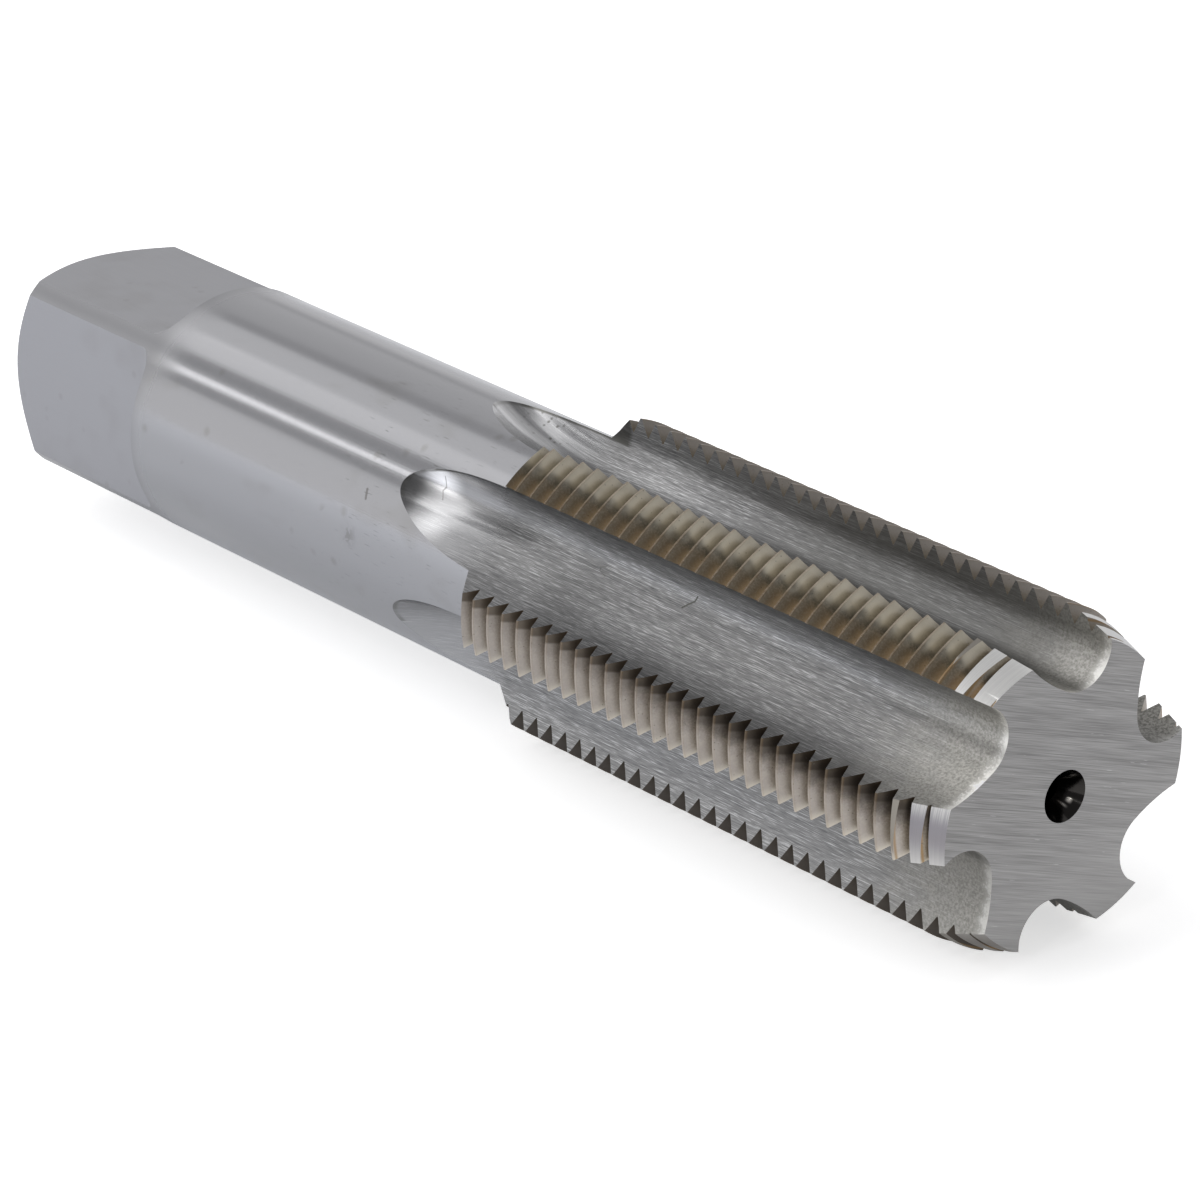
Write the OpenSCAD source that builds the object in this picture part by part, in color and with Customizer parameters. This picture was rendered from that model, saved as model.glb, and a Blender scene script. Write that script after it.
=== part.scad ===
// Thread tap: a straight-flute hand tap for a 1-1/4 inch, 12 per inch thread.
// One piece of tool steel: round shank, square drive end, six lands and six flutes,
// a short relieved chamfer at the thread end and a lathe centre in each end face.
// Frame: axis along X with the thread end at +X, resting on two lands on z = 0.
// Each land carries its own set of ring grooves, a sixth of a pitch apart from the next
// land's, so that the crests stand where a right-hand helix puts them.

/* [Overall] */
// Whole length, square end to front face
total_len = 146.05; // [120:0.05:200]
// Thread length, front face to the last full crest
thread_len = 63.9; // [30:0.1:85]
// Shank diameter
shank_d = 25.85; // [21:0.01:28]

/* [Thread] */
// Diameter over the crests
major_d = 31.75; // [30:0.05:36]
// Distance from one crest to the next
pitch = 2.1167; // [1.4:0.0001:2.6]
// Width of the flat on a full crest
crest_flat = 0.2; // [0.05:0.01:0.4]
// Width of the flat at a groove bottom
root_flat = 0.12; // [0.1:0.01:0.6]
// From the front face back to the first groove of the first land
front_groove = 1.14; // [0:0.01:2]
// Slope of the shoulder behind the last crest, from the axis
shoulder_deg = 45; // [30:1:75]

/* [Chamfer] */
// Diameter of the front face, mid-land
face_d = 28.4; // [26:0.05:29.8]
// Length of the chamfer, face to full diameter
chamfer_len = 5.4; // [2:0.1:20]
// Sideways shift of the chamfer cone that lowers each heel
relief_shift = 1.3; // [0:0.05:2.5]

/* [Flutes] */
// Number of flutes
flutes = 6; // [4:1:7]
// Radius left under the flute bottoms
core_r = 9.55; // [7.5:0.05:11]
// Radius of the round at the flute bottom
bottom_r = 3.55; // [2.5:0.05:4.5]
// Offset of the cutting face from the flute's middle line
face_offset = 4.9; // [3.8:0.05:5.6]
// Radius of the long curve up to the heel
heel_r = 16.1; // [11:0.1:24]
// Angle on the bottom round where the heel curve starts
heel_start_deg = 27.3; // [18:0.1:36]
// Radius of the cutter that leaves the rounded flute end
cutter_r = 31; // [20:0.5:60]
// How far the full flute depth passes the last crest
flute_past = 1.45; // [0:0.05:4]

/* [Square] */
// Size across the flats
square_af = 19.46; // [17:0.01:23]
// Length of the flats, from the square end
square_len = 26; // [15:0.1:40]
// Radius at the foot of the step up to the shank
step_r = 2; // [0.5:0.1:3]
// Diameter of the square end's face
end_face_d = 15.2; // [10:0.1:20]
// Length of the cone behind that face
end_cone_len = 4.4; // [1.5:0.1:8]

/* [Centres] */
// Mouth of the lathe centre in the front face
front_centre_d = 4.9; // [3.5:0.05:7]
// Mouth of the lathe centre in the square end
rear_centre_d = 6.2; // [3.5:0.05:8]
// Pilot bore of both centres
pilot_d = 2.4; // [1.6:0.05:3]
// Depth of the pilot bores
pilot_depth = 6.5; // [6:0.1:12]

/* [Hidden] */
$fn = 96;
steel = [0.66, 0.66, 0.67];
step = 360 / flutes;
r_major = major_d / 2;
r_shank = shank_d / 2;
thread_angle = 60;
flank_slope = tan(thread_angle / 2);
tooth_h = (pitch - crest_flat - root_flat) / 2 / flank_slope;
r_root = r_major - tooth_h;
// Solid under the rings, below the groove bottoms and below the front face edge
lap = 1;
r_body = min(r_root, face_d / 2 - 0.4) - 0.35;
r_ring = min(r_body, r_shank) - lap;
z_last = total_len - thread_len;
shoulder_len = (r_major - r_ring) / tan(shoulder_deg);
ring_count = ceil((thread_len + shoulder_len) / pitch) + 4;
ring_half_deg = step / 3;
// Cone of the chamfer, run past both ends
chamfer_slope = (r_major - face_d / 2) / chamfer_len;
cone_back = chamfer_len + 4;
cone_front = 2;
// Where the heel curve reaches the crests, and the turn that levels the tap on two lands
touch = 0.01;
bottom_u = face_offset + touch - bottom_r;
bottom_v = core_r + bottom_r;
heel_reach = heel_r - bottom_r + touch;
heel_u = bottom_u + heel_reach * sin(heel_start_deg);
heel_v = bottom_v + heel_reach * cos(heel_start_deg);
heel_far = norm([heel_v, heel_u]);
heel_open = acos((r_major * r_major + heel_far * heel_far - heel_r * heel_r)
    / (2 * r_major * heel_far));
heel_deg = heel_open - atan2(heel_u, heel_v);
edge_deg = asin(face_offset / r_major);
rest_turn = (heel_deg - edge_deg) / 2;
axis_h = r_major * cos((heel_deg + edge_deg) / 2);
flute_top = r_major + 3;
cutter_v = core_r + cutter_r;
z_run_out = z_last - flute_past;

// Half of one groove period after another, from behind the shoulder to past the face
function ring_points(first) = [
    for (i = [0 : ring_count - 1])
        for (p = [[r_root, root_flat / 2], [r_major, root_flat / 2 + tooth_h * flank_slope],
            [r_major, root_flat / 2 + tooth_h * flank_slope + crest_flat],
            [r_root, pitch - root_flat / 2]])
            [p[0], first + i * pitch + p[1]]
];

// The toothed strip of one land, cut off by the shoulder behind and run past the front face
module ring_section(shift) {
    first = total_len - front_groove + shift - (ring_count - 2) * pitch;
    last = first + ring_count * pitch;
    intersection() {
        polygon(concat(
            [[r_ring, first + root_flat / 2]],
            ring_points(first),
            [[r_ring, last - root_flat / 2]]));
        polygon([
            [r_ring - lap, z_last - shoulder_len],
            [r_ring, z_last - shoulder_len],
            [r_major + lap, z_last + lap / tan(shoulder_deg)],
            [r_major + lap, total_len + lap],
            [r_ring - lap, total_len + lap]]);
    }
}

// What the chamfer takes off one land: a block with the shifted cone left out of it
module chamfer_cut() {
    translate([0, 0, total_len]) difference() {
        translate([r_ring - lap, -r_major / 2, -cone_back])
            cube([r_major, r_major, cone_back + cone_front - lap / 2]);
        translate([0, relief_shift, -cone_back - lap])
            cylinder(
                h = cone_back + lap + cone_front,
                r1 = face_d / 2 + chamfer_slope * (cone_back + lap),
                r2 = face_d / 2 - chamfer_slope * cone_front);
    }
}

// One land, centred on the x axis of the standing tap
module land(index) {
    shift = pitch * index / flutes;
    difference() {
        rotate([0, 0, -ring_half_deg])
            rotate_extrude(angle = 2 * ring_half_deg)
            ring_section(shift);
        chamfer_cut();
    }
}

// Section of a flute: x outwards from the axis, y towards the cutting face
module flute_section() {
    start_u = bottom_u - bottom_r * sin(heel_start_deg);
    start_v = bottom_v - bottom_r * cos(heel_start_deg);
    translate([bottom_v, bottom_u])
        circle(r = bottom_r);
    intersection() {
        translate([heel_v, heel_u])
            circle(r = heel_r);
        polygon([
            [bottom_v, face_offset],
            [flute_top, face_offset],
            [flute_top, -heel_r],
            [start_v, -heel_r],
            [start_v, start_u]]);
    }
}

// One flute on the x axis: the straight run, then the cutter's arc up out of the shank
module flute_cut() {
    run_out_deg = 50;
    translate([0, 0, z_run_out])
        linear_extrude(height = total_len + 2 * lap - z_run_out)
        mirror([0, 1])
        flute_section();
    translate([cutter_v, 0, z_run_out])
        rotate([0, 180, 0])
        rotate([90, 0, 0])
        rotate_extrude(angle = run_out_deg)
        translate([cutter_v, 0])
        mirror([1, 0])
        flute_section();
}

// The four flats, each ending in a small round at the step up to the shank
module square_cut() {
    far = shank_d;
    half = square_af / 2;
    for (a = [0 : 90 : 270])
        rotate([0, 0, a])
        rotate([90, 0, 0])
        translate([0, 0, -far])
        linear_extrude(height = 2 * far) {
            translate([half, -lap])
                square([far, square_len + lap - step_r]);
            translate([half + step_r, -lap])
                square([far, square_len + lap]);
            translate([half + step_r, square_len - step_r])
                circle(r = step_r);
        }
}

// Leaves the cone and the small face at the square end
module end_cone_cut() {
    flare = (r_shank - end_face_d / 2) / end_cone_len;
    difference() {
        translate([0, 0, -lap])
            cylinder(h = end_cone_len + lap, r = r_shank + lap);
        translate([0, 0, -2 * lap])
            cylinder(
                h = end_cone_len + 4 * lap,
                r1 = end_face_d / 2 - 2 * lap * flare,
                r2 = r_shank + 2 * lap * flare);
    }
}

// A lathe centre opening towards -z at z = 0
module centre_cut(mouth_d) {
    cone_len = (mouth_d - pilot_d) / 2 / flank_slope;
    tip_len = pilot_d / 2 / tan(59);
    translate([0, 0, -lap])
        cylinder(
            h = cone_len + lap,
            r1 = mouth_d / 2 + lap * flank_slope,
            r2 = pilot_d / 2);
    translate([0, 0, cone_len / 2])
        cylinder(h = pilot_depth - cone_len / 2, r = pilot_d / 2);
    translate([0, 0, pilot_depth])
        cylinder(h = tip_len, r1 = pilot_d / 2, r2 = 0);
}

// The turned and threaded blank, a little longer than the tap
module blank() {
    cylinder(h = z_last + lap, r = r_shank);
    translate([0, 0, z_last])
        cylinder(h = thread_len + lap / 2, r = r_body);
    for (i = [0 : flutes - 1])
        rotate([0, 0, (i + 0.5) * step])
        land(i);
}

// Cuts the blank off square at the front face
module front_cut() {
    far = 2 * r_major;
    translate([-far, -far, total_len])
        cube([2 * far, 2 * far, 3 * lap]);
}

// The tap standing on its square end
module standing_tap() {
    difference() {
        blank();
        front_cut();
        for (i = [0 : flutes - 1])
            rotate([0, 0, i * step])
            flute_cut();
        square_cut();
        end_cone_cut();
        centre_cut(rear_centre_d);
        translate([0, 0, total_len])
            mirror([0, 0, 1])
            centre_cut(front_centre_d);
    }
}

module tap() {
    color(steel)
        translate([-total_len / 2, 0, axis_h])
        rotate([-rest_turn, 0, 0])
        rotate([0, 90, 0])
        standing_tap();
}

tap();
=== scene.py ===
"""Thread tap: the threaded and fluted body with its ground and brushed finishes, in a plain studio."""

import logging
import math
from dataclasses import dataclass
from enum import Enum
from functools import reduce
from typing import Protocol

import bmesh
import bpy
from mathutils import Matrix, Vector


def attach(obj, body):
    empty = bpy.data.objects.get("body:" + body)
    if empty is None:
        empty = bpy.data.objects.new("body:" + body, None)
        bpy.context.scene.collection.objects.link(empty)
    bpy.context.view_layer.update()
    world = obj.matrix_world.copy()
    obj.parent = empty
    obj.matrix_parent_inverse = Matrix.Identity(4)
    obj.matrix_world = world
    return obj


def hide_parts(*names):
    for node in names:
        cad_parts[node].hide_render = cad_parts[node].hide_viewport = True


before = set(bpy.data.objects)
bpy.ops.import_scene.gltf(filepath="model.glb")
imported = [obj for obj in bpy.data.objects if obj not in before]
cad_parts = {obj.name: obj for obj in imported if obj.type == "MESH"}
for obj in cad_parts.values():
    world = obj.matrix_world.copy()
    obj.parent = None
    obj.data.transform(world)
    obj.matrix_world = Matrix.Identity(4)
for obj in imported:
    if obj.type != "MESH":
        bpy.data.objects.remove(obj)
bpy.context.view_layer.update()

LOG = logging.getLogger("thread_tap")
MM = 0.001
# Slope of the thread's flanks and of the mouths of the lathe centres
SIXTY_DEG_SLOPE = math.tan(math.radians(30))
# Millimetres of flute wall for each degree round the tap
MM_PER_DEG = 0.21
# Angles round the tap of four lands as the photo shows them, in degrees
FAR_LAND, UPPER_LAND, NEAR_LAND, LOWER_LAND = 150.0, 210.0, 270.0, 330.0
Point = tuple[float, float, float]
Flat = tuple[float, float]
Colour = tuple[float, float, float]
Socket = bpy.types.NodeSocket
Sockets = bpy.types.bpy_prop_collection
Value = Socket | float
Paint = Socket | Colour


class Zone(Enum):
    """The surfaces of the tap, each with the finish that its own tool leaves."""

    SHANK = "ground_shank"
    FLAT = "milled_flat"
    END = "turned_end"
    THREAD = "ground_thread"
    CREST = "ground_crest"
    CHAMFER = "ground_chamfer"
    FLUTE = "milled_flute"
    FACE = "brushed_face"
    CENTRE = "drilled_centre"


@dataclass(frozen=True)
class TapSizes:
    """Sizes of the tap in millimetres, as in the solid model."""

    total_len: float = 146.05
    thread_len: float = 63.9
    shank_d: float = 25.85
    major_d: float = 31.75
    pitch: float = 2.1167
    crest_flat: float = 0.2
    root_flat: float = 0.12
    front_groove: float = 1.14
    shoulder_deg: float = 45.0
    face_d: float = 28.4
    chamfer_len: float = 5.4
    relief_shift: float = 1.3
    flutes: int = 6
    core_r: float = 9.55
    bottom_r: float = 3.55
    face_offset: float = 4.9
    heel_r: float = 16.1
    heel_start_deg: float = 27.3
    cutter_r: float = 31.0
    flute_past: float = 1.45
    square_af: float = 19.46
    square_len: float = 26.0
    step_r: float = 2.0
    end_face_d: float = 15.2
    end_cone_len: float = 4.4
    front_centre_d: float = 4.9
    rear_centre_d: float = 6.2
    pilot_d: float = 2.4
    pilot_depth: float = 6.5
    rest_turn: float = 1.8607
    axis_h: float = 14.9328

    @property
    def r_major(self) -> float:
        """Radius over the crests."""
        return self.major_d / 2

    @property
    def r_shank(self) -> float:
        """Radius of the shank."""
        return self.shank_d / 2

    @property
    def tooth_h(self) -> float:
        """Height of a tooth, groove bottom to crest."""
        return (self.pitch - self.crest_flat - self.root_flat) / 2 / SIXTY_DEG_SLOPE

    @property
    def r_root(self) -> float:
        """Radius at the groove bottoms."""
        return self.r_major - self.tooth_h

    @property
    def z_last(self) -> float:
        """Height of the last full crest on the standing tap."""
        return self.total_len - self.thread_len

    @property
    def land_deg(self) -> float:
        """Angle from one land to the next."""
        return 360 / self.flutes

    @property
    def chamfer_slope(self) -> float:
        """Fall of the chamfer's radius for each millimetre towards the face."""
        return (self.r_major - self.face_d / 2) / self.chamfer_len

    def lay_down(self) -> Matrix:
        """The move from the standing tap in millimetres to the lying tap in metres."""
        return (
            Matrix.Scale(MM, 4)
            @ Matrix.Translation((-self.total_len / 2, 0, self.axis_h))
            @ Matrix.Rotation(math.radians(-self.rest_turn), 4, "X")
            @ Matrix.Rotation(math.radians(90), 4, "Y")
        )


def zone_material(zone: Zone) -> bpy.types.Material:
    """The material of a zone, made empty the first time it is asked for."""
    return bpy.data.materials.get(zone.value) or bpy.data.materials.new(zone.value)


def show(thing: bpy.types.Object) -> None:
    """Links an object to the scene."""
    bpy.context.scene.collection.objects.link(thing)


def emptied(owner: bpy.types.Material | bpy.types.World) -> bpy.types.NodeTree:
    """Switches on the nodes of a material or a world, and empties their tree."""
    owner.use_nodes = True
    owner.node_tree.nodes.clear()
    return owner.node_tree


def swept(
    name: str, rings: list[list[Point]], zones: list[Zone], ends: tuple[Zone, Zone]
) -> bpy.types.Object:
    """Joins closed rings of points, one after another, into a closed solid with a flat cap on each end.

    Args:
        name: Name of the object.
        rings: Rings of equally many points.
        zones: Zone of each strip between two rings.
        ends: Zones of the first and the last cap.

    Returns:
        The new object, each face with its zone's material, which isn't linked to the scene.
    """
    count = len(rings[0])
    points = [p for ring in rings for p in ring]
    faces = [list(range(count))[::-1]]
    kinds = [ends[0]]
    for row, zone in enumerate(zones):
        low = row * count
        for i in range(count):
            j = (i + 1) % count
            faces.append([low + i, low + j, low + count + j, low + count + i])
            kinds.append(zone)
    faces.append([len(points) - count + i for i in range(count)])
    kinds.append(ends[1])
    used = list(dict.fromkeys(kinds))
    mesh = bpy.data.meshes.new(name)
    mesh.from_pydata(points, [], faces)
    for zone in used:
        mesh.materials.append(zone_material(zone))
    mesh.polygons.foreach_set("material_index", [used.index(zone) for zone in kinds])
    work = bmesh.new()
    work.from_mesh(mesh)
    bmesh.ops.recalc_face_normals(work, faces=work.faces)
    work.to_mesh(mesh)
    work.free()
    return bpy.data.objects.new(name, mesh)


def arc(centre: Flat, radius: float, first: float, last: float, steps: int) -> list[Flat]:
    """Points along an arc, with both its ends.

    Args:
        centre: Centre of the arc.
        radius: Its radius.
        first: Angle at the start, in radians.
        last: Angle at the end.
        steps: Number of equal steps.

    Returns:
        The points.
    """
    angles = [first + (last - first) * i / steps for i in range(steps + 1)]
    return [(centre[0] + radius * math.cos(a), centre[1] + radius * math.sin(a)) for a in angles]


@dataclass(frozen=True)
class TurnedBlank:
    """The blank before its grooves and flutes: cone, shank, shoulder, crests and relieved chamfer."""

    sizes: TapSizes
    steps: int = 288

    def chamfer(self, turn: float) -> Flat:
        """The relieved chamfer at one angle.

        Args:
            turn: Angle from the land's middle, in radians, positive towards the cutting edge.

        Returns:
            Its radius at the front face, and how far behind the face it reaches the full diameter.
        """
        s = self.sizes
        across, aside = math.cos(turn), math.sin(turn)
        shift, cone = s.relief_shift, s.face_d / 2
        radius = shift * aside + math.sqrt(cone**2 - (shift * across) ** 2)
        return radius, (math.hypot(s.r_major * across, s.r_major * aside - shift) - cone) / s.chamfer_slope

    def build(self) -> bpy.types.Object:
        """Builds the blank.

        Returns:
            The blank, standing on its square end.
        """
        s = self.sizes
        shoulder = (s.r_major - s.r_shank) / math.tan(math.radians(s.shoulder_deg))
        columns: list[list[Point]] = []
        for i in range(self.steps):
            angle = 360 * (i + 0.5) / self.steps
            radius, back = self.chamfer(math.radians(angle % s.land_deg - s.land_deg / 2))
            outline: list[Flat] = [
                (s.end_face_d / 2, 0.0),
                (s.r_shank, s.end_cone_len),
                (s.r_shank, s.z_last - shoulder),
                (s.r_major, s.z_last),
                (s.r_major, s.total_len - back),
                (radius, s.total_len),
            ]
            across, aside = math.cos(math.radians(angle)), math.sin(math.radians(angle))
            columns.append([(out * across, out * aside, height) for out, height in outline])
        rings = [list(ring) for ring in zip(*columns)]
        strips = [Zone.END, Zone.SHANK, Zone.CHAMFER, Zone.CREST, Zone.CHAMFER]
        return swept("turned_blank", rings, strips, (Zone.END, Zone.FACE))


@dataclass(frozen=True)
class FluteCutter:
    """The form that one flute cutter sweeps: a straight run, then its own arc up out of the shank."""

    sizes: TapSizes
    run_out_deg: float = 50.0
    run_out_steps: int = 40
    bottom_steps: int = 32
    heel_steps: int = 24
    past_face: float = 3.0
    past_crests: float = 3.0
    touch: float = 0.01

    def section(self) -> list[Flat]:
        """Outline of the flute.

        Returns:
            Points, each a distance from the axis and a distance sideways towards the cutting face.
        """
        s = self.sizes
        bottom = (s.core_r + s.bottom_r, s.face_offset + self.touch - s.bottom_r)
        start = math.radians(180 + s.heel_start_deg)
        reach = s.heel_r - s.bottom_r
        heel = (bottom[0] - reach * math.cos(start), bottom[1] - reach * math.sin(start))
        top = s.r_major + self.past_crests
        first = math.acos(math.sqrt(1 - ((s.face_offset - bottom[1]) / s.bottom_r) ** 2))
        last = 2 * math.pi - math.acos((top - heel[0]) / s.heel_r)
        return [
            (top, s.face_offset),
            *arc(bottom, s.bottom_r, first, start, self.bottom_steps),
            *arc(heel, s.heel_r, start, last, self.heel_steps)[1:],
        ]

    def build(self) -> bpy.types.Object:
        """Builds the cutter's sweep.

        Returns:
            The sweep, on the x axis of the standing tap.
        """
        s = self.sizes
        outline = self.section()
        run_out = s.z_last - s.flute_past
        cutter_v = s.core_r + s.cutter_r
        rings = [[(v, -u, s.total_len + self.past_face) for v, u in outline]]
        for i in range(self.run_out_steps + 1):
            a = math.radians(self.run_out_deg * i / self.run_out_steps)
            rings.append([
                (cutter_v - (cutter_v - v) * math.cos(a), -u, run_out - (cutter_v - v) * math.sin(a))
                for v, u in outline
            ])
        return swept("flute_cutter", rings, [Zone.FLUTE] * (len(rings) - 1), (Zone.FLUTE, Zone.FLUTE))


@dataclass(frozen=True)
class SquareCutter:
    """The block that mills one flat of the square, with the small round at its foot."""

    sizes: TapSizes
    round_steps: int = 10
    past_end: float = 1.0

    def build(self) -> bpy.types.Object:
        """Builds the block.

        Returns:
            The block, on the x axis of the standing tap.
        """
        s = self.sizes
        half, far = s.square_af / 2, s.shank_d
        foot = (half + s.step_r, s.square_len - s.step_r)
        outline = [
            (far, -self.past_end),
            (half, -self.past_end),
            *arc(foot, s.step_r, math.pi, math.pi / 2, self.round_steps),
            (far, s.square_len),
        ]
        rings = [[(x, side * far, z) for x, z in outline] for side in (-1, 1)]
        return swept("square_cutter", rings, [Zone.FLAT], (Zone.FLAT, Zone.FLAT))


@dataclass(frozen=True)
class CentreDrill:
    """A lathe centre: a 60 degree mouth and a small pilot bore with a drilled point.

    It enters at face_z and goes the way of into, which is 1 or -1.
    """

    sizes: TapSizes
    mouth_d: float
    face_z: float
    into: int
    steps: int = 72
    past_face: float = 1.0
    point_half_deg: float = 59.0
    tip_r: float = 0.02

    def build(self) -> bpy.types.Object:
        """Builds the drill's form.

        Returns:
            The form, on the axis of the standing tap.
        """
        s = self.sizes
        pilot = s.pilot_d / 2
        outline: list[Flat] = [
            (self.mouth_d / 2 + self.past_face * SIXTY_DEG_SLOPE, -self.past_face),
            (pilot, (self.mouth_d / 2 - pilot) / SIXTY_DEG_SLOPE),
            (pilot, s.pilot_depth),
            (self.tip_r, s.pilot_depth + pilot / math.tan(math.radians(self.point_half_deg))),
        ]
        angles = [2 * math.pi * i / self.steps for i in range(self.steps)]
        rings = [
            [(radius * math.cos(a), radius * math.sin(a), self.face_z + self.into * deep) for a in angles]
            for radius, deep in outline
        ]
        return swept("centre_drill", rings, [Zone.CENTRE] * 3, (Zone.CENTRE, Zone.CENTRE))


class NodeBench:
    """A short way to add nodes to a tree and to join them."""

    def __init__(self, tree: bpy.types.NodeTree) -> None:
        """Keeps the tree that the nodes go into."""
        self.tree = tree

    def join(self, value: object, socket: Socket) -> None:
        """Joins an output to an input, or sets the input to a value; a colour gets its alpha."""
        if isinstance(value, Socket):
            self.tree.links.new(value, socket)
        else:
            socket.default_value = (*value, 1) if socket.type == "RGBA" else value

    def add(
        self, kind: str, inputs: dict[str | int, object] | None = None, **settings: object
    ) -> bpy.types.Node:
        """Adds a node.

        Args:
            kind: Node type.
            inputs: For an input's name or number, a value, or an output socket to join to it.
            settings: Properties of the node.

        Returns:
            The new node.
        """
        node = self.tree.nodes.new(kind)
        for name, value in settings.items():
            setattr(node, name, value)
        for key, value in (inputs or {}).items():
            self.join(value, node.inputs[key])
        return node

    def one(self, kind: str, inputs: dict[str | int, object] | None = None, **settings: object) -> Socket:
        """Adds a node and returns its first output."""
        return self.add(kind, inputs, **settings).outputs[0]

    def math(self, operation: str, *values: Value, **settings: object) -> Socket:
        """Adds a Math node and returns its output."""
        return self.one("ShaderNodeMath", dict(enumerate(values)), operation=operation, **settings)

    def times(self, *values: Value) -> Socket:
        """The product of the values."""
        return reduce(lambda first, second: self.math("MULTIPLY", first, second), values)

    def plus(self, *values: Value) -> Socket:
        """The sum of the values."""
        return reduce(lambda first, second: self.math("ADD", first, second), values)

    def most(self, *values: Value) -> Socket:
        """The greatest of the values."""
        return reduce(lambda first, second: self.math("MAXIMUM", first, second), values)

    def minus(self, first: Value, second: Value) -> Socket:
        """The first value less the second."""
        return self.math("SUBTRACT", first, second)

    def over(self, first: Value, second: Value) -> Socket:
        """The first value divided by the second."""
        return self.math("DIVIDE", first, second)

    def line(self, value: Value, slope: Value, start: Value) -> Socket:
        """A value times a slope, plus a start."""
        return self.math("MULTIPLY_ADD", value, slope, start)

    def ramp(self, value: Value, low: float, high: float, to_low: float = 0, to_high: float = 1) -> Socket:
        """A value brought smoothly from one range to another."""
        given = {"Value": value, "From Min": low, "From Max": high, "To Min": to_low, "To Max": to_high}
        return self.one("ShaderNodeMapRange", given, interpolation_type="SMOOTHSTEP")

    def parts(self, vector: Socket) -> Sockets:
        """The X, Y and Z of a vector."""
        return self.add("ShaderNodeSeparateXYZ", {"Vector": vector}).outputs

    def flute_lean(self, around: Socket) -> Socket:
        """Angle from the middle of the nearest flute, by the angle round the tap."""
        step = TapSizes().land_deg
        return self.minus(self.math("FLOORED_MODULO", self.plus(around, step / 2), step), step / 2)


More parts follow.
